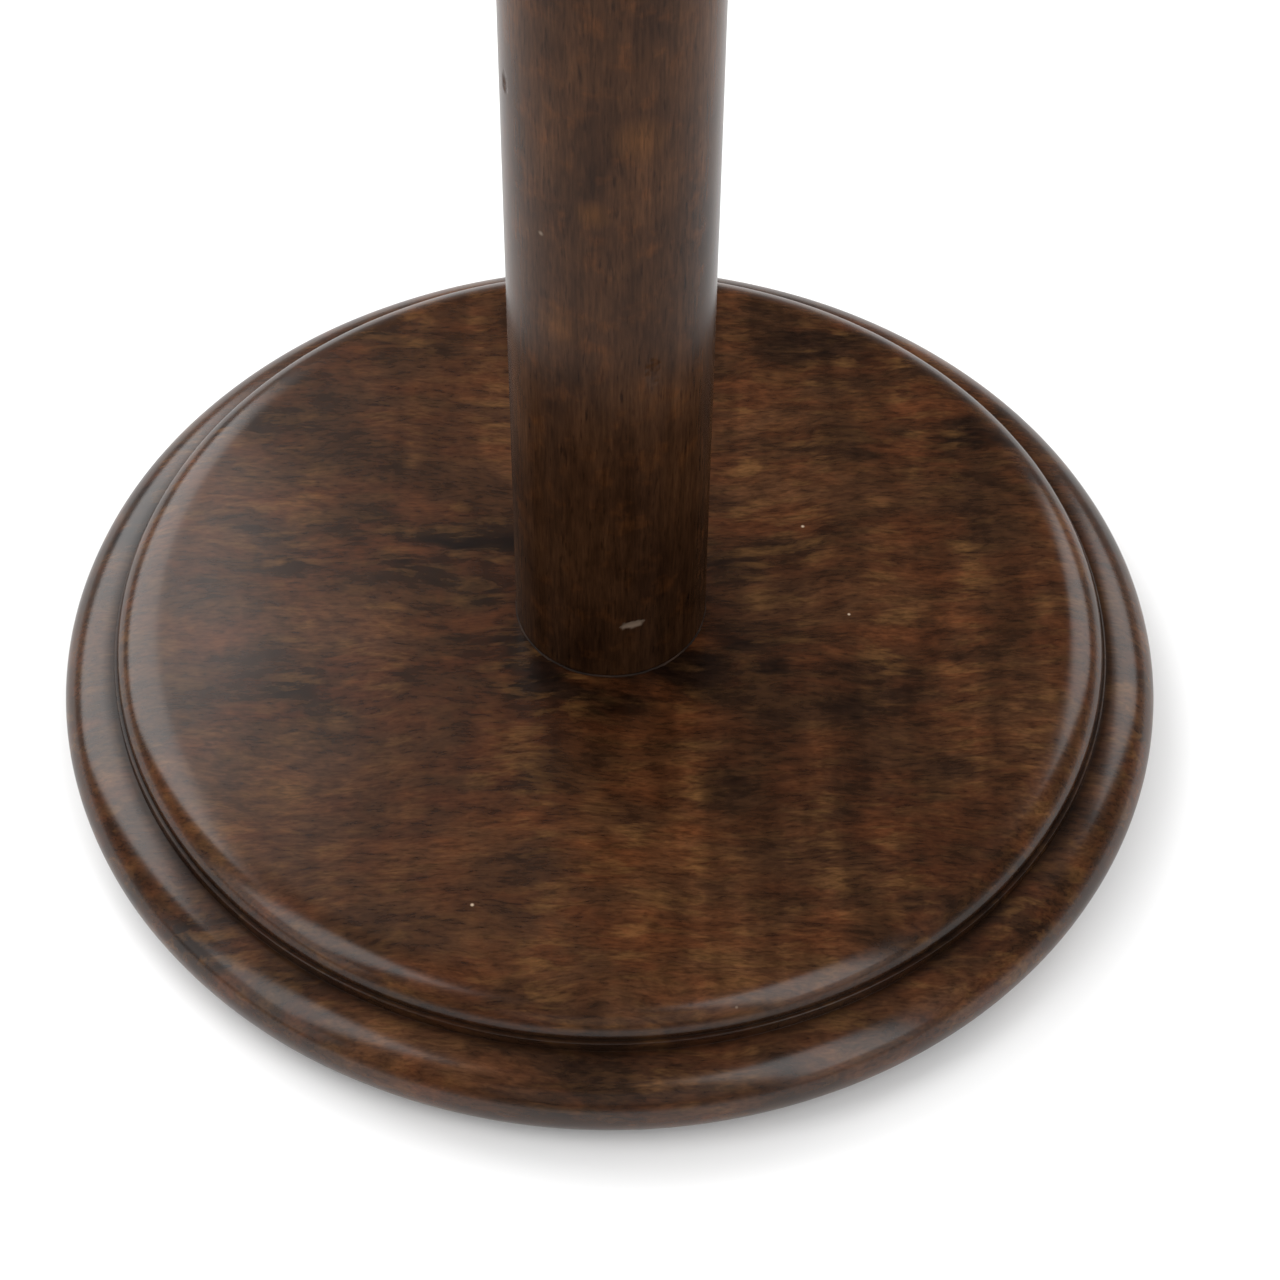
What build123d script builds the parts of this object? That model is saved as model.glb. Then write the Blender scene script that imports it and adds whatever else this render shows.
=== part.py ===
from build123d import *
import math
import os

# Wooden trumpet stand: a turned round base with a moulded edge and an upright round post.
# The bell of the trumpet goes down over the post until its throat rests on a felt band near the top.
# Millimetres, +Z up. The origin is on the stand's axis, on the surface that the stand rests on.

# Driving dimensions
BASE_DIAMETER = 175.0
BASE_THICKNESS = 19.0  # of the wood alone
POST_DIAMETER = 30.0
STAND_HEIGHT = 215.0  # from the surface below to the tip of the post

# Moulded edge of the base, from the flat top outwards and down
WALL_RADIUS = 78.4  # outside of the raised middle
SHOULDER_WIDTH = 7.0  # quarter ellipse at the rim of the flat top
SHOULDER_DROP = 4.5
LIP_HEIGHT = 14.1  # lip at the foot of the shoulder, above the wood's underside
LIP_WIDTH = 0.6
BEAD_HEIGHT = 12.1  # top of the bead outside the lip
NOSE_HEIGHT = 6.05  # widest part of the bead
QUARTER_BEND = 0.5523  # share of each axis that the tangents of a quarter ellipse reach

# Post
POST_EASE = 0.6  # rounding of its lower corner
TENON_DIAMETER = 20.0
TENON_LENGTH = 8.0
MORTISE_CLEARANCE = 0.05  # on the radius
MORTISE_END_GAP = 0.5
SPIGOT_DIAMETER = 26.0  # turned down to take the felt band
TIP_DIAMETER = 28.0  # of the round tip above the felt band

# Felt band round the top of the post, made of a strip with a butt joint
BAND_DIAMETER = 30.4
BAND_WIDTH = 26.0
BAND_CLEARANCE = 0.05  # between felt and wood, all round
BAND_ROUND = 0.6  # on its two outer edges
BAND_SEAM = 0.4

# Felt ring under the base
RING_DIAMETER = 152.0
RING_HOLE_DIAMETER = 21.0
RING_THICKNESS = 2.0
RING_ROUND = 0.5

# Counterbore and clearance hole in the base, and the pilot hole in the post
COUNTERBORE_DIAMETER = 20.0
COUNTERBORE_DEPTH = 6.0
SCREW_HOLE_DIAMETER = 6.0
PILOT_DIAMETER = 5.1
PILOT_END_GAP = 2.0

# Washer and pan-head wood screw
WASHER_DIAMETER = 18.0
WASHER_HOLE_DIAMETER = 5.6
WASHER_THICKNESS = 1.4
HEAD_DIAMETER = 10.4
HEAD_HEIGHT = 3.6
HEAD_EDGE = 1.2  # upright rim of the head below its dome
SHANK_DIAMETER = 5.0
SHANK_LENGTH = 8.0  # plain part under the head
CORE_DIAMETER = 3.5
THREAD_PITCH = 2.2
THREAD_LENGTH = 26.0
POINT_LENGTH = 4.5
RECESS_SPAN = 5.6  # cross recess in the head
RECESS_WIDTH = 1.3
RECESS_DEPTH = 2.2

# Heights that follow from the sizes
WOOD_BOTTOM = RING_THICKNESS
WOOD_TOP = WOOD_BOTTOM + BASE_THICKNESS
TENON_BOTTOM = WOOD_TOP - TENON_LENGTH
COUNTERBORE_ROOF = WOOD_BOTTOM + COUNTERBORE_DEPTH
WASHER_BOTTOM = COUNTERBORE_ROOF - WASHER_THICKNESS
HEAD_BOTTOM = WASHER_BOTTOM - HEAD_HEIGHT
SHANK_TOP = WASHER_BOTTOM + SHANK_LENGTH
THREAD_TOP = SHANK_TOP + THREAD_LENGTH
SCREW_POINT = THREAD_TOP + POINT_LENGTH
BAND_TOP = STAND_HEIGHT - TIP_DIAMETER / 2
BAND_BOTTOM = BAND_TOP - BAND_WIDTH


def turned(*edges):
    """A full turn about +Z of the closed outline that the edges make, drawn as (radius, height)."""
    return revolve(Plane.XZ * make_face(edges), Axis.Z)


def cylinder(diameter, bottom, top):
    """An upright cylinder on the stand's axis."""
    return Pos(0, 0, (bottom + top) / 2) * Cylinder(diameter / 2, top - bottom)


def tube(outer, inner, bottom, top):
    """An upright tube on the stand's axis, from its two diameters."""
    return cylinder(outer, bottom, top) - cylinder(inner, bottom, top)


def quarter_round(inner_r, outer_r, side_z, end_z):
    """A convex quarter circle from an end face at end_z to an upright side that starts at side_z."""
    slant = math.sqrt(0.5)
    middle = (inner_r + (outer_r - inner_r) * slant, side_z + (end_z - side_z) * slant)
    return ThreePointArc((inner_r, end_z), middle, (outer_r, side_z))


def quarter_ellipse(inner_r, outer_r, side_z, end_z):
    """A convex quarter ellipse between the same two faces."""
    reach_r = inner_r + (outer_r - inner_r) * QUARTER_BEND
    reach_z = side_z + (end_z - side_z) * QUARTER_BEND
    return Bezier((inner_r, end_z), (reach_r, end_z), (outer_r, reach_z), (outer_r, side_z))


def base_blank():
    """The turned disc: flat top, soft shoulder, lip, and a bead with a round underside."""
    rim_r = BASE_DIAMETER / 2
    flat_r = WALL_RADIUS - SHOULDER_WIDTH
    lip_r = WALL_RADIUS + LIP_WIDTH
    under_r = rim_r - NOSE_HEIGHT
    shoulder_z = WOOD_TOP - SHOULDER_DROP
    lip_z = WOOD_BOTTOM + LIP_HEIGHT
    bead_z = WOOD_BOTTOM + BEAD_HEIGHT
    nose_z = WOOD_BOTTOM + NOSE_HEIGHT
    return turned(
        Polyline((under_r, WOOD_BOTTOM), (0, WOOD_BOTTOM), (0, WOOD_TOP), (flat_r, WOOD_TOP)),
        quarter_ellipse(flat_r, WALL_RADIUS, shoulder_z, WOOD_TOP),
        Polyline((WALL_RADIUS, shoulder_z), (WALL_RADIUS, lip_z), (lip_r, lip_z), (lip_r, bead_z)),
        quarter_ellipse(lip_r, rim_r, nose_z, bead_z),
        quarter_round(under_r, rim_r, nose_z, WOOD_BOTTOM),
    )


def make_base():
    """The base, with a mortise above, a counterbore below and the screw's hole between them."""
    mortise_floor = TENON_BOTTOM - MORTISE_END_GAP
    mortise = cylinder(TENON_DIAMETER + 2 * MORTISE_CLEARANCE, mortise_floor, WOOD_TOP)
    screw_hole = cylinder(SCREW_HOLE_DIAMETER, COUNTERBORE_ROOF, mortise_floor)
    counterbore = cylinder(COUNTERBORE_DIAMETER, WOOD_BOTTOM, COUNTERBORE_ROOF)
    return base_blank() - mortise - screw_hole - counterbore


def make_post():
    """The post: tenon, eased foot, straight shaft, spigot for the band and domed tip."""
    r = POST_DIAMETER / 2
    tenon_r = TENON_DIAMETER / 2
    spigot_r = SPIGOT_DIAMETER / 2
    tip_r = TIP_DIAMETER / 2
    ease_r = r - POST_EASE
    ease_z = WOOD_TOP + POST_EASE
    blank = turned(
        Polyline((0, STAND_HEIGHT), (0, TENON_BOTTOM), (tenon_r, TENON_BOTTOM), (tenon_r, WOOD_TOP), (ease_r, WOOD_TOP)),
        quarter_round(ease_r, r, ease_z, WOOD_TOP),
        Polyline((r, ease_z), (r, BAND_BOTTOM), (spigot_r, BAND_BOTTOM), (spigot_r, BAND_TOP), (tip_r, BAND_TOP)),
        quarter_round(0, tip_r, BAND_TOP, STAND_HEIGHT),
    )
    return blank - cylinder(PILOT_DIAMETER, TENON_BOTTOM, SCREW_POINT + PILOT_END_GAP)


def make_band():
    """The felt band on the post's spigot, split where the strip's ends meet at the back."""
    bottom = BAND_BOTTOM + BAND_CLEARANCE
    top = BAND_TOP - BAND_CLEARANCE
    band = tube(BAND_DIAMETER, SPIGOT_DIAMETER + 2 * BAND_CLEARANCE, bottom, top)
    outer_edges = band.edges().filter_by(GeomType.CIRCLE).group_by(SortBy.RADIUS)[-1]
    seam = Pos(0, BAND_DIAMETER / 2, (bottom + top) / 2) * Box(BAND_SEAM, BAND_DIAMETER / 2, 2 * BAND_WIDTH)
    return fillet(outer_edges, BAND_ROUND) - seam


def make_ring():
    """The felt ring glued under the base, with its lower edges a little rounded."""
    ring = tube(RING_DIAMETER, RING_HOLE_DIAMETER, 0, RING_THICKNESS)
    lower_edges = ring.edges().filter_by(GeomType.CIRCLE).group_by(Axis.Z)[0]
    return fillet(lower_edges, RING_ROUND)


def make_washer():
    """The flat washer between the counterbore's roof and the screw's head."""
    return tube(WASHER_DIAMETER, WASHER_HOLE_DIAMETER, WASHER_BOTTOM, COUNTERBORE_ROOF)


def screw_thread():
    """One helical ridge round the screw's core, rooted a little inside it."""
    root_r = CORE_DIAMETER / 2 - 0.2
    crest_r = SHANK_DIAMETER / 2
    half_width = THREAD_PITCH * 0.3
    profile = Polyline((root_r, -half_width), (crest_r, 0), (root_r, half_width), close=True)
    path = Helix(THREAD_PITCH, THREAD_LENGTH - 2 * half_width, root_r)
    ridge = sweep(Plane.XZ * make_face(profile), path=path, is_frenet=True)
    return Pos(0, 0, SHANK_TOP + half_width) * ridge


def make_screw():
    """The wood screw: domed head with a cross recess, plain shank, threaded core and point."""
    head_r = HEAD_DIAMETER / 2
    shank_r = SHANK_DIAMETER / 2
    core_r = CORE_DIAMETER / 2
    rim_z = WASHER_BOTTOM - HEAD_EDGE
    rise = rim_z - HEAD_BOTTOM
    dome_radius = (head_r**2 + rise**2) / (2 * rise)
    blank = turned(
        RadiusArc((0, HEAD_BOTTOM), (head_r, rim_z), -dome_radius),
        Polyline(
            (head_r, rim_z), (head_r, WASHER_BOTTOM), (shank_r, WASHER_BOTTOM), (shank_r, SHANK_TOP),
            (core_r, SHANK_TOP + shank_r - core_r), (core_r, THREAD_TOP), (0, SCREW_POINT), (0, HEAD_BOTTOM),
        ),
    )
    slot = Pos(0, 0, HEAD_BOTTOM) * Box(RECESS_SPAN, RECESS_WIDTH, 2 * RECESS_DEPTH)
    return blank + screw_thread() - slot - Rot(0, 0, 90) * slot


def main():
    """Write each piece as its own STEP file."""
    pieces = {
        "base": make_base(),
        "post": make_post(),
        "post_felt": make_band(),
        "base_felt": make_ring(),
        "post_screw": make_screw(),
        "screw_washer": make_washer(),
    }
    os.makedirs("parts", exist_ok=True)
    for name, piece in pieces.items():
        export_step(piece, f"parts/{name}.step")


main()
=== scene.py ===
"""Looks of the wooden trumpet stand: stained and lacquered wood, felt, zinc plating, floor and light."""
import math

import bpy
from mathutils import Matrix, Vector, noise


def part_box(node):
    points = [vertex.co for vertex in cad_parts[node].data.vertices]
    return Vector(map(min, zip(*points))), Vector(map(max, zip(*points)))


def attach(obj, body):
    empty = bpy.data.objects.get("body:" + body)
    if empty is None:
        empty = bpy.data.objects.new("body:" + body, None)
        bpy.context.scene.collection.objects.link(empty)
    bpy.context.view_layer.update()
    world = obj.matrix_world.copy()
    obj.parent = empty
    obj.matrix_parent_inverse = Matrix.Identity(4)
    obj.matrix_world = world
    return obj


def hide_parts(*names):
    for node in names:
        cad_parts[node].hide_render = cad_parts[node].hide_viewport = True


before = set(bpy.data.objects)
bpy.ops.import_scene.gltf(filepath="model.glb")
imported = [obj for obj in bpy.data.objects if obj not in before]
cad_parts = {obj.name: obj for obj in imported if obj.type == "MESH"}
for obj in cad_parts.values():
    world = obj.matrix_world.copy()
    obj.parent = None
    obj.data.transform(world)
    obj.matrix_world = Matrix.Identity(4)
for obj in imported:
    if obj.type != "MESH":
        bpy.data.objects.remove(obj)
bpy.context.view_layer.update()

MM = 0.001
WHOLE_TURN = 2 * math.pi

# Places read from the frame
BASE_LOW, BASE_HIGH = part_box("base")
POST_LOW, POST_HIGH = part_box("post")
BAND_LOW, BAND_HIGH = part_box("post_felt")
RING_LOW, RING_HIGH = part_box("base_felt")
SCREW_TIP_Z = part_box("post_screw")[1].z
COUNTERBORE_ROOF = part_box("screw_washer")[1].z

RIM_R = BASE_HIGH.x
WOOD_BOTTOM = BASE_LOW.z
WOOD_TOP = BASE_HIGH.z
POST_R = POST_HIGH.x

# Moulded edge of the base
WALL_R = 78.4 * MM
SHOULDER_WIDTH = 7.0 * MM
SHOULDER_DROP = 4.5 * MM
LIP_R = WALL_R + 0.6 * MM
LIP_Z = WOOD_BOTTOM + 14.1 * MM
LEDGE_Z = WOOD_BOTTOM + 12.1 * MM
NOSE_Z = (LEDGE_Z + WOOD_BOTTOM) / 2  # height of the widest part

# Holes in the wood
MORTISE_R = 10.05 * MM
MORTISE_Z = POST_LOW.z - 0.5 * MM
SCREW_HOLE_R = 3.0 * MM
COUNTERBORE_R = 10.0 * MM
PILOT_R = 2.55 * MM
PILOT_Z = SCREW_TIP_Z + 2.0 * MM

# Post
TENON_R = 10.0 * MM
SPIGOT_R = 13.0 * MM  # turned down to take the felt band
TIP_R = 14.0 * MM
EASE = 0.6 * MM  # rounding of its lower corner
GLUE_WIDTH = 0.25 * MM

# Felts
BAND_GAP = 0.05 * MM  # between the band and the wood
BAND_ROUND = 0.6 * MM
SEAM_HALF = 0.3 * MM  # half width of the groove where the band's ends meet, at the back
SEAM_DEPTH = 0.35 * MM
RING_HOLE_R = 10.5 * MM
RING_ROUND = 0.5 * MM
FLOOR_GAP = 0.02 * MM  # keeps the ring's fibres out of the floor

# How finely the turned pieces are divided, round the axis and along the outline
BASE_STEPS = 480
POST_STEPS = 420
BAND_STEPS = 240
RING_STEPS = 360
CORNER_STEPS = 3
SHAFT_ROW = 1.5 * MM
MARK_ROW = 0.25 * MM  # rows near a mark on the post
BAND_ROW = 0.5 * MM
RING_ROW = 1.0 * MM

# Wear of the wood
ARRIS = 0.22 * MM  # how far a turned edge is worn round
CREASE = 0.05 * MM  # how round an inside corner is
SHARP_TURN = math.radians(25)  # an outline that turns less than this is left as it is
SHADE_RISE = 2.6 * MM  # how far the painted shade reaches up the foot of the shoulder
SHADE_SPREAD = 2.2 * MM  # how far it reaches out from the lip

# Floor, light and camera
FLOOR_SIZE = 60.0  # so wide that its far edge lies close to the horizon
FLOOR_COLOUR = (0.82, 0.82, 0.82, 1.0)
LIT_POINT = Vector((0, 0, 50 * MM))  # what every soft box faces
LENS = 89.44  # focal length in millimetres, on a sensor 36 mm wide
EYE = Vector((-6.2 * MM, -325.7 * MM, 406.8 * MM))
LOOK_DOWN = math.radians(50.48)
LOOK_RIGHT = math.radians(1.92)
ROLL = math.radians(-0.76)

UP = Vector((0, 0, 1))
ACROSS = Vector((1, 0, 0))


def on_top(x, y, drop=0.0):
    """A point on the base's top, or a drop below it, in millimetres from the stand's axis."""
    return Vector((x * MM, y * MM, WOOD_TOP - drop * MM))


def on_post(angle, height):
    """A point on the post's surface; the angle is in degrees from the front, positive to the right."""
    a = math.radians(angle)
    return Vector((POST_R * math.sin(a), -POST_R * math.cos(a), height))


# Lighter patches where handling has worn the base's stain, and darker patches, two of them painted shade:
# (place, reach, strength)
WEAR_AND_SHADE_PATCHES = (
    (on_top(-30, -55), 38 * MM, 0.14),
    (on_top(58, 8), 34 * MM, 0.12),
    (on_top(-30, 45), 36 * MM, 0.08),
    # painted shade round the front of the post's foot
    (on_top(0, -12), 36 * MM, -0.24),
    (on_top(-62, -22), 30 * MM, -0.06),
    # painted shade that narrows the left soft box's sheen on the top
    (on_top(-33, 18), 24 * MM, -0.12),
)

# Tiny pale specks on the base: (place, radius)
SPECKS = (
    (on_top(-21.4, -57.7), 0.35 * MM),
    (on_top(16.9, -75.3, 1.5), 0.45 * MM),
    (on_top(37.7, -2.9), 0.30 * MM),
    (on_top(31.4, 15.8), 0.35 * MM),
)

# Redder patches on the post: (place, reach, strength)
POST_PATCHES = (
    (on_post(-10.6, 118 * MM), 3.0 * MM, 0.6),
    (on_post(13.1, 130.8 * MM), 4.5 * MM, 0.5),
    (on_post(-30, 96 * MM), 5.0 * MM, 0.35),
)

# Marks on the post, by height
CHIP_Z = 33.3 * MM
DENT_Z = 87.3 * MM
NICK_Z = 111.8 * MM
EDGE_DENT_Z = 132.6 * MM
MARK_HEIGHTS = (CHIP_Z, DENT_Z, NICK_Z, EDGE_DENT_Z)
MARK_REACH = 3 * MM  # how far from a mark the rows are close

# Colours, as linear red, green, blue and alpha
STAIN_RED = (0.049, 0.0150, 0.0050, 1.0)
STAIN_DARK = (0.0095, 0.0045, 0.0029, 1.0)
# painted shade for the groove at the foot of the shoulder, on the lip and beside it
GROOVE_SHADE_COLOUR = (0.006, 0.0035, 0.0025, 1.0)
WORN_GOLD = (0.084, 0.0385, 0.0120, 1.0)
SPECK_PALE = (0.50, 0.38, 0.27, 1.0)
POST_RED = (0.064, 0.0225, 0.0068, 1.0)
POST_PATCH_RED = (0.086, 0.034, 0.009, 1.0)
NICK_PALE = (0.20, 0.15, 0.11, 1.0)
BARE_WOOD = (0.150, 0.108, 0.078, 1.0)
STRAY_FIBRE = (0.12, 0.10, 0.088, 1.0)
FELT_SHEEN = (0.55, 0.48, 0.42, 1.0)


# Outlines, drawn as (radius, height)
def line(start, end, count):
    """Points from start towards end, without the end itself."""
    step = ((end[0] - start[0]) / count, (end[1] - start[1]) / count)
    return [(start[0] + step[0] * i, start[1] + step[1] * i) for i in range(count)]


def arc(centre, wide, high, start, end, count):
    """Points on an ellipse from one angle to another, in degrees, both included."""
    angles = [math.radians(start + (end - start) * i / count) for i in range(count + 1)]
    return [(centre[0] + wide * math.cos(a), centre[1] + high * math.sin(a)) for a in angles]


def worn(points, radius=ARRIS):
    """The outline with each sharp corner rounded off, by less than half of the sides that meet there."""
    kept = [points[0]]
    for before, corner, after in zip(points, points[1:], points[2:]):
        a, b, c = (Vector(p) for p in (before, corner, after))
        into, out = b - a, c - b
        if into.length < 1e-9 or out.length < 1e-9 or into.angle(out) < SHARP_TURN:
            kept.append(corner)
            continue
        reach = min(radius, into.length * 0.45, out.length * 0.45)
        start, end = b - into.normalized() * reach, b + out.normalized() * reach
        for i in range(CORNER_STEPS + 1):
            t = i / CORNER_STEPS
            point = start * (1 - t) ** 2 + b * (2 * t * (1 - t)) + end * t**2
            kept.append((point.x, point.y))
    return kept + [points[-1]]


def turned(name, outline, closed, steps=BASE_STEPS):
    """A lathe-turned mesh: the outline taken once round the Z axis. A closed outline makes a ring."""
    spin = [(math.cos(WHOLE_TURN * i / steps), math.sin(WHOLE_TURN * i / steps)) for i in range(steps)]
    points, rows = [], []
    for radius, height in outline:
        if radius < 1e-7:
            rows.append([len(points)] * steps)
            points.append((0.0, 0.0, height))
        else:
            rows.append(list(range(len(points), len(points) + steps)))
            points.extend((radius * x, radius * y, height) for x, y in spin)
    if closed:
        rows.append(rows[0])
    faces = []
    for low, high in zip(rows, rows[1:]):
        for i in range(steps):
            j = (i + 1) % steps
            loop = [low[i], low[j], high[j], high[i]]
            face = [v for k, v in enumerate(loop) if v != loop[k - 1]]
            if len(face) > 2:
                faces.append(face)
    mesh = bpy.data.meshes.new(name)
    mesh.from_pydata(points, [], faces)
    mesh.validate()
    mesh.update()
    mesh.shade_smooth()
    piece = bpy.data.objects.new(name, mesh)
    bpy.context.scene.collection.objects.link(piece)
    return piece


# Small marks on the wood
def dented(piece, dents, ripple, wave):
    """Presses dents into a piece, and gives its surface the faint unevenness of hand sanding.

    A dent is (place, long half-size, short half-size, depth, direction of its length, bare wood share).
    """
    mesh = piece.data
    bare = mesh.attributes.new("bare", "FLOAT", "POINT")
    shifts = []
    for vertex, normal in zip(mesh.vertices, mesh.vertex_normals):
        shift = ripple * noise.noise(vertex.co * wave)
        share = 0.0
        for place, length, width, depth, along, amount in dents:
            away = vertex.co - place
            if away.length > length * 1.5:
                continue
            lengthwise = away.dot(along)
            across = (away - along * lengthwise).length
            ragged = 1 + 0.35 * noise.noise(vertex.co * 1600)
            distance = math.hypot(lengthwise / length, across / width) * ragged
            press = max(0.0, 1 - distance**2)
            shift -= depth * press
            share = max(share, amount * min(1.0, press * 1.8))
        bare.data[vertex.index].value = share
        shifts.append(normal.vector * shift)
    for vertex, shift in zip(mesh.vertices, shifts):
        vertex.co += shift
    mesh.update()


def paint_groove_shade(piece):
    """Marks where shade is painted dark into the stain: at the foot of the shoulder, on the lip and beside
    it.
    """
    groove_shade = piece.data.attributes.new("groove_shade", "FLOAT", "POINT")
    slack = 0.1 * MM
    under_lip = LIP_Z - 0.6 * MM
    for vertex in piece.data.vertices:
        radius, z = math.hypot(vertex.co.x, vertex.co.y), vertex.co.z
        share = 0.0
        if WALL_R - 2 * MM < radius < WALL_R + slack and LIP_Z - slack <= z < LIP_Z + SHADE_RISE:
            share = 0.85 * (1 - (z - LIP_Z) / SHADE_RISE)
        elif WALL_R < radius < LIP_R + SHADE_SPREAD and NOSE_Z < z < under_lip:
            share = 0.75 * (1 - max(0.0, radius - LIP_R) / SHADE_SPREAD)
        elif WALL_R < radius < LIP_R + slack and under_lip <= z < LIP_Z + slack:
            share = 0.6
        groove_shade.data[vertex.index].value = min(1.0, max(0.0, share))


# Shader helpers
class Nodes:
    """Short calls for building one material's nodes."""

    def __init__(self, name):
        self.material = bpy.data.materials.new(name)
        self.material.use_nodes = True
        self.tree = self.material.node_tree
        self.shader = self.tree.nodes["Principled BSDF"]
        self.place = self.add("ShaderNodeTexCoord").outputs["Object"]

    def add(self, kind, **settings):
        node = self.tree.nodes.new(kind)
        for key, value in settings.items():
            setattr(node, key, value)
        return node

    def put(self, value, socket):
        if isinstance(value, bpy.types.NodeSocket):
            self.tree.links.new(value, socket)
        else:
            socket.default_value = value

    def math(self, operation, *values):
        node = self.add("ShaderNodeMath", operation=operation)
        for value, socket in zip(values, node.inputs):
            self.put(value, socket)
        return node.outputs[0]

    def stretched(self, scale, turn=(0, 0, 0), place=None):
        """A place scaled by a number for each axis: the larger it is, the finer the pattern that way."""
        node = self.add("ShaderNodeMapping")
        self.put(place or self.place, node.inputs["Vector"])
        node.inputs["Scale"].default_value = scale
        node.inputs["Rotation"].default_value = turn
        return node.outputs[0]

    def noise(self, place, scale, detail=3.0, roughness=0.55, distortion=0.0):
        node = self.add("ShaderNodeTexNoise")
        self.put(place, node.inputs["Vector"])
        node.inputs["Scale"].default_value = scale
        node.inputs["Detail"].default_value = detail
        node.inputs["Roughness"].default_value = roughness
        node.inputs["Distortion"].default_value = distortion
        return node.outputs["Fac"]

    def ramp(self, value, *stops):
        node = self.add("ShaderNodeValToRGB")
        self.put(value, node.inputs["Fac"])
        elements = node.color_ramp.elements
        for i, (at, colour) in enumerate(stops):
            element = elements[i] if i < 2 else elements.new(at)
            element.position = at
            element.color = (*colour, 1.0) if hasattr(colour, "__len__") else (colour, colour, colour, 1.0)
        return node.outputs["Color"]

    def mix(self, share, first, second, blend="MIX"):
        node = self.add("ShaderNodeMix", data_type="RGBA", blend_type=blend)
        self.put(share, node.inputs[0])
        self.put(first, node.inputs[6])
        self.put(second, node.inputs[7])
        return node.outputs[2]

    def bump(self, height, strength, distance, normal=None):
        node = self.add("ShaderNodeBump")
        self.put(height, node.inputs["Height"])
        node.inputs["Strength"].default_value = strength
        node.inputs["Distance"].default_value = distance
        if normal:
            self.put(normal, node.inputs["Normal"])
        return node.outputs["Normal"]

    def attribute(self, name):
        return self.add("ShaderNodeAttribute", attribute_name=name).outputs["Fac"]

    def near(self, spot, size):
        """1 at a spot, falling to 0 at that distance from it."""
        away = self.add("ShaderNodeVectorMath", operation="DISTANCE")
        self.put(self.place, away.inputs[0])
        away.inputs[1].default_value = spot
        return self.ramp(self.math("DIVIDE", away.outputs["Value"], size), (0.0, 1.0), (1.0, 0.0))


def lacquered(n, ior, facing, grazing, thickness):
    """The clear satin finish of the wood: how strong it is seen straight on and along the surface."""
    view = n.add("ShaderNodeLayerWeight")
    view.inputs["Blend"].default_value = 0.5
    weight = n.ramp(view.outputs["Facing"], (0.25, facing), (0.75, grazing))
    n.put(n.math("MULTIPLY", weight, thickness), n.shader.inputs["Coat Weight"])
    n.shader.inputs["Roughness"].default_value = 0.6
    n.shader.inputs["Specular IOR Level"].default_value = 0.0
    n.shader.inputs["Coat Roughness"].default_value = 0.20
    n.shader.inputs["Coat IOR"].default_value = ior


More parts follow.
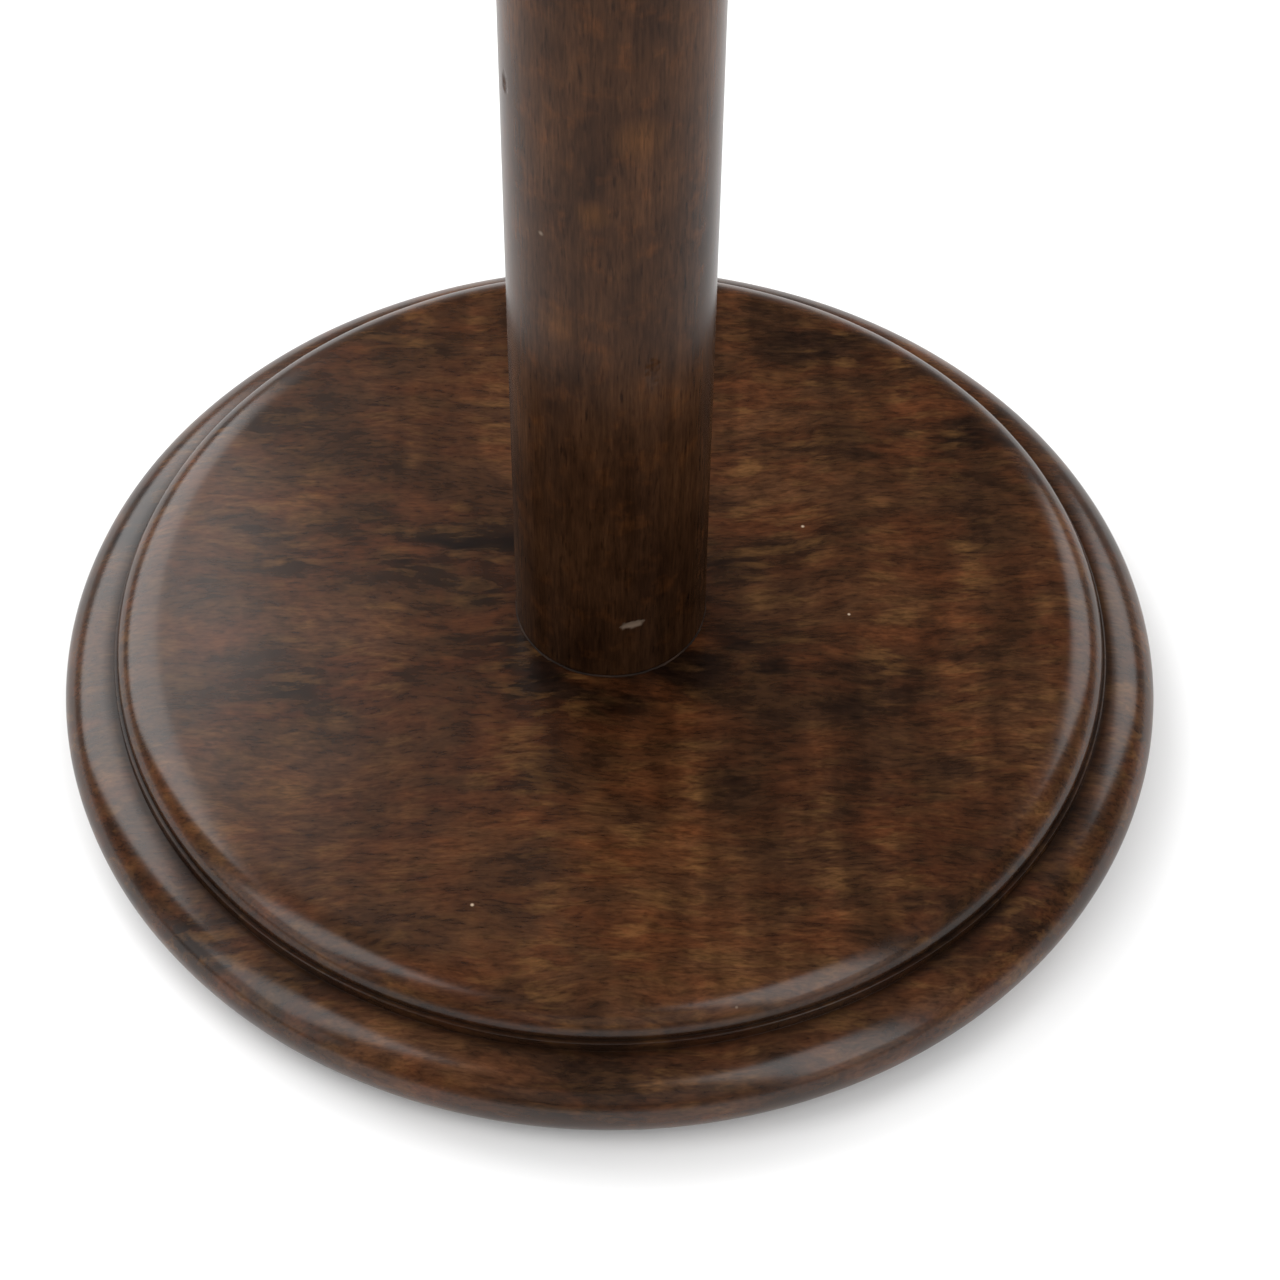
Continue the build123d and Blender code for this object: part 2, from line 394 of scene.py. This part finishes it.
def base_wood():
    """Stained board, its grain along X: blotches, worn patches and patches of painted shade, curled figure,
    wavy flecks, fine pores, and painted shade in the groove of the moulded edge.
    """
    n = Nodes("base_wood")
    warp = n.noise(n.stretched((18, 30, 30)), 1.0, 2.0)
    waved = n.add("ShaderNodeVectorMath", operation="ADD")
    n.put(n.place, waved.inputs[0])
    shove = n.add("ShaderNodeCombineXYZ")
    n.put(n.math("MULTIPLY", n.math("SUBTRACT", warp, 0.5), 0.012), shove.inputs["Y"])
    n.put(shove.outputs[0], waved.inputs[1])
    place = waved.outputs[0]

    blotch = n.noise(n.stretched((24, 52, 60), place=place), 1.0, 3.0, 0.6)
    patch = n.noise(n.stretched((70, 150, 160), place=place), 1.0, 3.0, 0.6)
    mottle = n.noise(n.stretched((150, 330, 330), place=place), 1.0, 4.0, 0.65)
    curl = n.noise(n.stretched((150, 26, 60)), 1.0, 2.0, 0.5)
    streak = n.noise(n.stretched((110, 420, 420), place=place), 1.0, 4.0, 0.6, 0.4)
    fleck = n.noise(n.stretched((420, 1500, 1500), place=place), 1.0, 3.0, 0.6, 0.5)
    pore = n.noise(n.stretched((450, 3000, 3000), place=place), 1.0, 2.0, 0.6)

    # the worn-stain and painted-shade patches are added to the blotches
    wear_and_shade_share = blotch
    for spot, size, amount in WEAR_AND_SHADE_PATCHES:
        wear_and_shade_share = n.math("ADD", wear_and_shade_share, n.math("MULTIPLY", n.near(spot, size), amount))
    tone = n.ramp(wear_and_shade_share, (0.30, (0.0070, 0.0029, 0.0015)), (0.74, (0.055, 0.0215, 0.0083)))
    red = n.ramp(patch, (0.45, 0.0), (0.68, 0.8))
    tone = n.mix(red, tone, STAIN_RED)
    dark = n.ramp(patch, (0.30, 1.0), (0.46, 0.0))
    tone = n.mix(n.math("MULTIPLY", dark, 0.35), tone, STAIN_DARK)
    mottled = n.ramp(mottle, (0.34, (0.68, 0.66, 0.66)), (0.66, (1.42, 1.45, 1.38)))
    tone = n.mix(1.0, tone, mottled, "MULTIPLY")
    streaked = n.ramp(streak, (0.50, 0.0), (0.66, 0.58))
    gold = n.math("MULTIPLY", streaked, n.ramp(curl, (0.40, 0.3), (0.62, 1.0)))
    tone = n.mix(gold, tone, WORN_GOLD)
    figured = n.ramp(n.noise(n.place, 20.0, 2.0), (0.42, 0.15), (0.60, 1.0))
    tone = n.mix(figured, tone, n.ramp(curl, (0.36, 0.70), (0.64, 1.26)), "MULTIPLY")
    tone = n.mix(1.0, tone, n.ramp(fleck, (0.34, 0.66), (0.48, 1.0), (0.64, 1.30)), "MULTIPLY")
    tone = n.mix(1.0, tone, n.ramp(pore, (0.30, 0.78), (0.50, 1.06)), "MULTIPLY")
    # painted shade in the groove of the moulded edge
    tone = n.mix(n.attribute("groove_shade"), tone, GROOVE_SHADE_COLOUR)
    for spot, size in SPECKS:
        tone = n.mix(n.near(spot, size), tone, SPECK_PALE)
    n.put(tone, n.shader.inputs["Base Color"])

    n.put(n.bump(fleck, 0.10, 0.00010), n.shader.inputs["Normal"])
    orange_peel = n.noise(n.place, 260.0, 2.0)
    n.put(n.bump(fleck, 0.05, 0.00008, n.bump(orange_peel, 0.04, 0.0002)), n.shader.inputs["Coat Normal"])
    # the lacquer is thinned where the groove shade is painted, which dims its reflection there
    thickness = n.math("SUBTRACT", 1.0, n.math("MULTIPLY", n.attribute("groove_shade"), 0.75))
    lacquered(n, ior=1.42, facing=1.0, grazing=0.72, thickness=thickness)
    return n.material


def post_wood():
    """Stained dowel, its grain along Z: long fine streaks, faint blotches and short pale pores, with painted
    shade darkening its lower part and painted light lightening its upper part.
    """
    n = Nodes("post_wood")
    blotch = n.noise(n.stretched((70, 70, 40)), 1.0, 3.0, 0.6)
    streak = n.noise(n.stretched((900, 900, 45)), 1.0, 4.0, 0.6, 0.3)
    fine = n.noise(n.stretched((2600, 2600, 260)), 1.0, 2.0, 0.6)
    spot = n.noise(n.stretched((260, 260, 240)), 1.0, 3.0, 0.6)
    pore = n.noise(n.stretched((1900, 1900, 260)), 1.0, 2.0, 0.6)

    tone = n.ramp(blotch, (0.32, (0.0160, 0.0066, 0.0031)), (0.70, (0.0465, 0.0198, 0.0084)))
    red = n.ramp(spot, (0.54, 0.0), (0.74, 0.6))
    tone = n.mix(red, tone, POST_RED)
    for spot, size, amount in POST_PATCHES:
        tone = n.mix(n.math("MULTIPLY", n.near(spot, size), amount), tone, POST_PATCH_RED)
    tone = n.mix(1.0, tone, n.ramp(streak, (0.36, 0.80), (0.66, 1.20)), "MULTIPLY")
    tone = n.mix(1.0, tone, n.ramp(fine, (0.32, 0.78), (0.66, 1.28)), "MULTIPLY")
    tone = n.mix(1.0, tone, n.ramp(pore, (0.28, 0.55), (0.42, 1.04)), "MULTIPLY")
    split = n.add("ShaderNodeSeparateXYZ")
    n.put(n.place, split.inputs[0])
    height = n.math("DIVIDE", split.outputs["Z"], POST_HIGH.z)
    # painted light and shade: the post's colour is darkened low down and lightened higher up
    tone = n.mix(1.0, tone, n.ramp(height, (0.25, 0.72), (0.50, 1.32)), "MULTIPLY")
    tone = n.mix(n.near(on_post(-40.4, NICK_Z), 0.5 * MM), tone, NICK_PALE)
    tone = n.mix(n.attribute("bare"), tone, BARE_WOOD)
    n.put(tone, n.shader.inputs["Base Color"])

    n.put(n.bump(fine, 0.06, 0.00004, n.bump(streak, 0.06, 0.00008)), n.shader.inputs["Normal"])
    n.put(n.bump(streak, 0.02, 0.00008), n.shader.inputs["Coat Normal"])
    thickness = n.ramp(height, (0.26, 0.20), (0.44, 0.72))
    lacquered(n, ior=1.33, facing=0.6, grazing=0.92, thickness=thickness)
    return n.material


def felt():
    """Pressed wool: matted fibres in two crossing directions, with a soft sheen."""
    n = Nodes("felt")
    one = n.noise(n.stretched((900, 3800, 3800), (0.3, 0.2, 0.5)), 1.0, 3.0, 0.6, 1.2)
    two = n.noise(n.stretched((3800, 900, 3800), (0.5, 0.4, 0.2)), 1.0, 3.0, 0.6, 1.2)
    matted = n.math("ADD", n.math("MULTIPLY", one, 0.5), n.math("MULTIPLY", two, 0.5))
    cloud = n.noise(n.place, 120.0, 3.0)
    tuft = n.noise(n.place, 620.0, 4.0, 0.7, 1.5)
    stray = n.noise(n.stretched((500, 4200, 2600), (0.9, 0.3, 1.1)), 1.0, 2.0, 0.5, 2.0)
    tone = n.ramp(matted, (0.36, (0.009, 0.0072, 0.0064)), (0.64, (0.050, 0.041, 0.036)))
    tone = n.mix(1.0, tone, n.ramp(cloud, (0.3, 0.8), (0.7, 1.2)), "MULTIPLY")
    tone = n.mix(1.0, tone, n.ramp(tuft, (0.34, 0.55), (0.66, 1.5)), "MULTIPLY")
    tone = n.mix(n.ramp(stray, (0.66, 0.0), (0.74, 0.6)), tone, STRAY_FIBRE)
    n.put(tone, n.shader.inputs["Base Color"])
    n.shader.inputs["Roughness"].default_value = 0.95
    n.shader.inputs["Specular IOR Level"].default_value = 0.1
    n.shader.inputs["Sheen Weight"].default_value = 0.35
    n.shader.inputs["Sheen Roughness"].default_value = 0.5
    n.shader.inputs["Sheen Tint"].default_value = FELT_SHEEN
    n.put(n.bump(matted, 0.9, 0.00035, n.bump(tuft, 0.8, 0.0006)), n.shader.inputs["Normal"])
    return n.material


def zinc(name):
    """Bright zinc plating with fine scratches and a little dulling."""
    n = Nodes(name)
    scratch = n.noise(n.stretched((6000, 300, 900), (0.2, 0.1, 0.7)), 1.0, 3.0, 0.6)
    dull = n.noise(n.place, 500.0, 3.0)
    n.put(n.ramp(dull, (0.3, (0.48, 0.47, 0.44)), (0.7, (0.66, 0.65, 0.62))), n.shader.inputs["Base Color"])
    n.put(n.ramp(scratch, (0.3, 0.22), (0.7, 0.42)), n.shader.inputs["Roughness"])
    n.shader.inputs["Metallic"].default_value = 1.0
    n.put(n.bump(scratch, 0.12, 0.00003), n.shader.inputs["Normal"])
    return n.material


def cover(piece, material):
    piece.data.materials.clear()
    piece.data.materials.append(material)


# The wooden pieces
def base_outline():
    """Half section of the base, all round: top, moulded edge, underside and the stepped hole."""
    flat_r = WALL_R - SHOULDER_WIDTH
    under_r = RIM_R - (NOSE_Z - WOOD_BOTTOM)
    shoulder = arc((flat_r, WOOD_TOP - SHOULDER_DROP), SHOULDER_WIDTH, SHOULDER_DROP, 90, 0, 24)
    lip = worn([(WALL_R, LIP_Z), (LIP_R, LIP_Z), (LIP_R, LEDGE_Z)], 2 * ARRIS)
    groove = worn([shoulder[-1], *lip, (LIP_R + 3 * ARRIS, LEDGE_Z)], CREASE)
    bead = arc((LIP_R, NOSE_Z), RIM_R - LIP_R, LEDGE_Z - NOSE_Z, 90, 0, 32)[3:]
    below = arc((under_r, NOSE_Z), RIM_R - under_r, NOSE_Z - WOOD_BOTTOM, 0, -90, 24)
    top = line((MORTISE_R, WOOD_TOP), (flat_r, WOOD_TOP), 64)
    under = line(below[-1], (COUNTERBORE_R, WOOD_BOTTOM), 30)
    hole = [
        (COUNTERBORE_R, WOOD_BOTTOM), (COUNTERBORE_R, COUNTERBORE_ROOF), (SCREW_HOLE_R, COUNTERBORE_ROOF),
        (SCREW_HOLE_R, MORTISE_Z), (MORTISE_R, MORTISE_Z), (MORTISE_R, WOOD_TOP - EASE),
    ]
    return top + shoulder[:-1] + groove + bead + below[1:] + under[1:] + hole


def post_outline():
    """Half section of the post from the top of its pilot hole round to its domed tip."""
    ease_z = WOOD_TOP + EASE
    band_low, band_high = BAND_LOW.z - BAND_GAP, BAND_HIGH.z + BAND_GAP
    margin = 0.4 * MM  # between the shaft's rows and the corners at its ends
    foot = arc((POST_R - EASE, ease_z), EASE, EASE, -90, 0, 6)
    below = [
        (0, PILOT_Z), (PILOT_R, PILOT_Z), (PILOT_R, POST_LOW.z), (TENON_R, POST_LOW.z), (TENON_R, WOOD_TOP),
    ]
    shaft, z = [], ease_z + margin
    while z < band_low - margin:
        shaft.append((POST_R, z))
        z += MARK_ROW if any(abs(z - mark) < MARK_REACH for mark in MARK_HEIGHTS) else SHAFT_ROW
    above = [(POST_R, band_low), (SPIGOT_R, band_low), (SPIGOT_R, band_high), (TIP_R, band_high)]
    tip = arc((0, band_high), TIP_R, POST_HIGH.z - band_high, 0, 90, 24)
    tip[-1] = (0, POST_HIGH.z)
    return below + foot + shaft + worn(above + [tip[1]])[:-1] + tip[1:]


def make_base():
    base = turned("turned_base", base_outline(), closed=True)
    dented(base, [], ripple=0.04 * MM, wave=60.0)
    paint_groove_shade(base)
    cover(base, base_wood())
    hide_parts("base")
    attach(base, "root")


def make_post():
    """The post, with a pale chip near its foot and two dents further up."""
    post = turned("turned_post", post_outline(), closed=False, steps=POST_STEPS)
    tilt = (ACROSS + UP * 0.10).normalized()
    marks = [
        (on_post(12.0, CHIP_Z), 2.4 * MM, 0.85 * MM, 0.22 * MM, tilt, 0.9),
        (on_post(22.1, DENT_Z), 2.6 * MM, 1.2 * MM, 0.12 * MM, UP, 0.0),
        (on_post(-70.2, EDGE_DENT_Z), 1.8 * MM, 0.9 * MM, 0.25 * MM, UP, 0.0),
    ]
    dented(post, marks, ripple=0.03 * MM, wave=70.0)
    cover(post, post_wood())
    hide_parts("post")
    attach(post, "root")


def make_glue():
    """The thin, uneven line of glue and lacquer that shows round the foot of the post."""
    bead = arc((POST_R - EASE * 0.2, WOOD_TOP), GLUE_WIDTH, GLUE_WIDTH * 0.9, -60, 240, 14)
    ring = turned("glue_line", bead, closed=True)
    for vertex in ring.data.vertices:
        outward = Vector((vertex.co.x, vertex.co.y, 0)).normalized()
        vertex.co += outward * (0.18 * MM * noise.noise(outward * 5) + 0.08 * MM * noise.noise(outward * 40))
    n = Nodes("glue_line")
    smear = n.noise(n.place, 220.0)
    tone = n.ramp(smear, (0.42, (0.010, 0.005, 0.003)), (0.70, (0.034, 0.018, 0.011)))
    n.put(tone, n.shader.inputs["Base Color"])
    n.shader.inputs["Roughness"].default_value = 0.6
    n.shader.inputs["Specular IOR Level"].default_value = 0.15
    cover(ring, n.material)
    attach(ring, "root")


# Felt
def fluffed(piece, amount, seed):
    """Roughens the felt's surface a little; the seed shifts the noise, so that no two pieces are alike."""
    away = Vector((seed, seed * 2, seed * 3))
    for vertex, normal in zip(piece.data.vertices, [v.vector.copy() for v in piece.data.vertex_normals]):
        vertex.co += normal * (amount * noise.noise(vertex.co * 900 + away))
    piece.data.update()


def felt_section(inner, outer, low, high, row, fewest, rounding):
    """Closed outline of a flat-sided ring, each side divided into rows, its corners rounded."""
    corners = [(inner, low), (outer, low), (outer, high), (inner, high)]
    sides = []
    for start, end in zip(corners, corners[1:] + corners[:1]):
        sides += line(start, end, max(fewest, round(math.dist(start, end) / row)))
    return worn(sides + [sides[0]], rounding)[:-1]


def make_band(material):
    """The strip round the post's spigot, its ends meeting in a groove at the back."""
    inner, outer = SPIGOT_R + BAND_GAP, BAND_HIGH.x
    low, high = BAND_LOW.z, BAND_HIGH.z
    section = felt_section(inner, outer, low, high, BAND_ROW, 2, BAND_ROUND)
    band = turned("felt_band", section, closed=True, steps=BAND_STEPS)
    fluffed(band, 0.12 * MM, 1.0)
    for vertex in band.data.vertices:
        if vertex.co.y > 0 and abs(vertex.co.x) < SEAM_HALF:
            vertex.co.y -= SEAM_DEPTH * (vertex.co.y - inner) / (outer - inner)
    cover(band, material)
    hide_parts("post_felt")
    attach(band, "root")


def make_ring(material):
    """The ring under the base, cut from a square of felt as wide as the ring."""
    inner, outer = RING_HOLE_R, RING_HIGH.x
    low, high = RING_LOW.z, RING_HIGH.z
    section = felt_section(inner, outer, low, high, RING_ROW, 3, RING_ROUND)
    ring = turned("felt_ring", section, closed=True, steps=RING_STEPS)
    fluffed(ring, 0.05 * MM, 5.0)
    for vertex in ring.data.vertices:
        vertex.co.z = max(vertex.co.z, low + FLOOR_GAP)
    cover(ring, material)
    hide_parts("base_felt")
    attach(ring, "root")


def make_felt():
    material = felt()
    make_band(material)
    make_ring(material)


def make_metal():
    for node in ("post_screw", "screw_washer"):
        cover(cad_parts[node], zinc(node + "_zinc"))


# Floor, light and camera
def make_floor():
    mesh = bpy.data.meshes.new("floor")
    half = FLOOR_SIZE / 2
    corners = [(-half, -half, 0), (half, -half, 0), (half, half, 0), (-half, half, 0)]
    mesh.from_pydata(corners, [], [(0, 1, 2, 3)])
    floor = bpy.data.objects.new("floor", mesh)
    bpy.context.scene.collection.objects.link(floor)
    material = bpy.data.materials.new("floor")
    material.use_nodes = True
    shader = material.node_tree.nodes["Principled BSDF"]
    shader.inputs["Base Color"].default_value = FLOOR_COLOUR
    shader.inputs["Roughness"].default_value = 0.9
    shader.inputs["Specular IOR Level"].default_value = 0.1
    cover(floor, material)


def softbox(name, azimuth, elevation, distance, size, radiance):
    """A soft box that faces the stand. Azimuth is in degrees from the back (+Y), positive to the right."""
    width, height = size
    a, e = math.radians(azimuth), math.radians(elevation)
    away = Vector((math.sin(a) * math.cos(e), math.cos(a) * math.cos(e), math.sin(e)))
    light = bpy.data.lights.new(name, "AREA")
    light.shape = "RECTANGLE"
    light.size, light.size_y = width, height
    light.energy = radiance * width * height * math.pi
    lamp = bpy.data.objects.new(name, light)
    lamp.location = LIT_POINT + away * distance
    lamp.rotation_euler = away.to_track_quat("Z", "Y").to_euler()
    lamp.visible_camera = False
    bpy.context.scene.collection.objects.link(lamp)


def skylight(name, strength, spread):
    """Even light from overhead, from a wide cone in degrees. It lights the whole floor and isn't mirrored."""
    light = bpy.data.lights.new(name, "SUN")
    light.energy = strength
    light.angle = math.radians(spread)
    lamp = bpy.data.objects.new(name, light)
    lamp.location = (0, 0, 3)
    lamp.visible_glossy = False
    bpy.context.scene.collection.objects.link(lamp)


def white(value):
    return (value, value, value, 1.0)


def make_light():
    softbox("left_back_box", -45, 35, 1.6, size=(1.35, 1.2), radiance=4.4)
    softbox("right_back_box", 48, 31, 1.6, size=(0.7, 0.75), radiance=3.2)
    softbox("left_side_box", -110, 50, 1.6, size=(0.55, 1.05), radiance=3.2)
    softbox("left_low_box", -114, 20, 1.6, size=(0.9, 0.7), radiance=1.2)
    softbox("right_side_box", 138, 45, 1.6, size=(0.6, 1.3), radiance=3.2)
    softbox("right_low_box", 140, 16, 1.6, size=(0.7, 0.6), radiance=1.0)
    softbox("front_fill", 180, 34, 1.8, size=(1.2, 0.9), radiance=0.30)
    skylight("overhead_fill", strength=2.2, spread=110)
    world = bpy.data.worlds.new("studio")
    bpy.context.scene.world = world
    world.use_nodes = True
    tree = world.node_tree
    place = tree.nodes.new("ShaderNodeTexCoord").outputs["Generated"]
    split = tree.nodes.new("ShaderNodeSeparateXYZ")
    ramp = tree.nodes.new("ShaderNodeValToRGB")
    tree.links.new(place, split.inputs[0])
    tree.links.new(split.outputs["Z"], ramp.inputs[0])
    ramp.color_ramp.elements[0].position = 0.0
    ramp.color_ramp.elements[0].color = white(0.72)
    ramp.color_ramp.elements[1].position = 0.35
    ramp.color_ramp.elements[1].color = white(0.07)
    ramp.color_ramp.elements.new(0.08).color = white(0.45)
    tree.links.new(ramp.outputs[0], tree.nodes["Background"].inputs["Color"])


def make_camera():
    """A long lens, looking down on the base at 50 degrees, that crops the top of the post."""
    camera = bpy.data.cameras.new("camera")
    camera.sensor_width = 36.0
    camera.lens = LENS
    eye = bpy.data.objects.new("camera", camera)
    bpy.context.scene.collection.objects.link(eye)
    aim = Matrix.Rotation(-LOOK_RIGHT, 4, "Z") @ Matrix.Rotation(math.pi / 2 - LOOK_DOWN, 4, "X")
    turn = aim @ Matrix.Rotation(-ROLL, 4, "Z")
    eye.matrix_world = Matrix.Translation(EYE) @ turn
    bpy.context.scene.camera = eye


make_camera()
make_base()
make_post()
make_glue()
make_felt()
make_metal()
make_floor()
make_light()
bpy.context.scene.view_settings.view_transform = "Standard"
